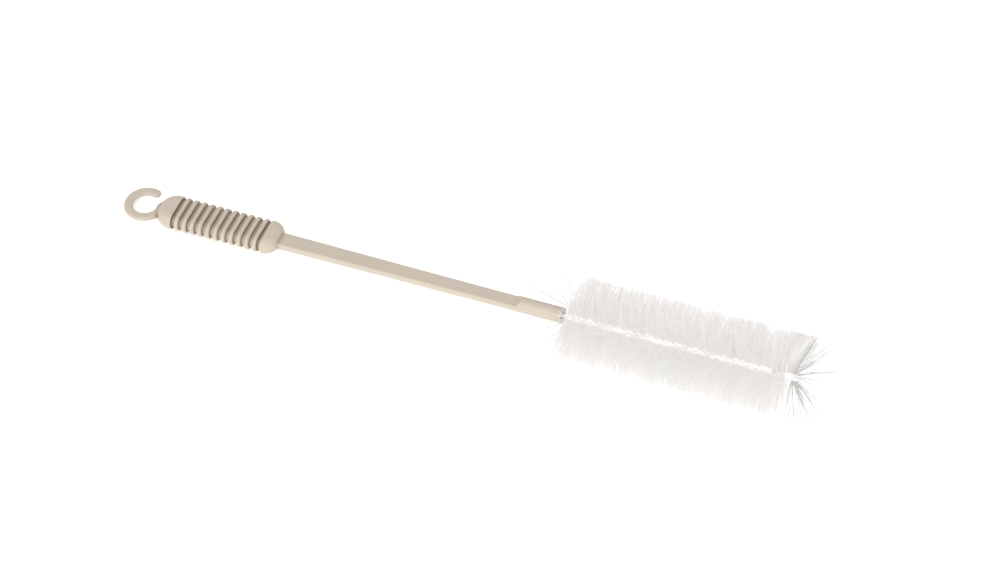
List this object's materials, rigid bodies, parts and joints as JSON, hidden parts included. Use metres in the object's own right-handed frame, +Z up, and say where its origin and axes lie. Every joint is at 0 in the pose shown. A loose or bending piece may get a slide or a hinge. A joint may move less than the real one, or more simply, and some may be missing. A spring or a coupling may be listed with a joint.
{
  "type": "bottle brush",
  "caption": "Long bottle brush with a moulded hook handle, ribbed grip, twisted wire core and a round head of white bristles.",
  "frame": {"origin": "on the surface the brush lies on, under the middle of its box", "axes": "+X along the brush from the hook to the bristles, +Z up; the brush lies with its hook flat side up and its head raised by its bristles"},
  "size_m": [0.3477, 0.04, 0.0483],
  "materials": {
    "handle_plastic": "satin",
    "coated_wire": "satin",
    "white_bristle": "satin"
  },
  "bodies": {
    "root": {"handle": "handle_plastic", "twisted_wire": "coated_wire", "bristles": "white_bristle", "tip_filaments": "white_bristle"}
  },
  "joints": []
}
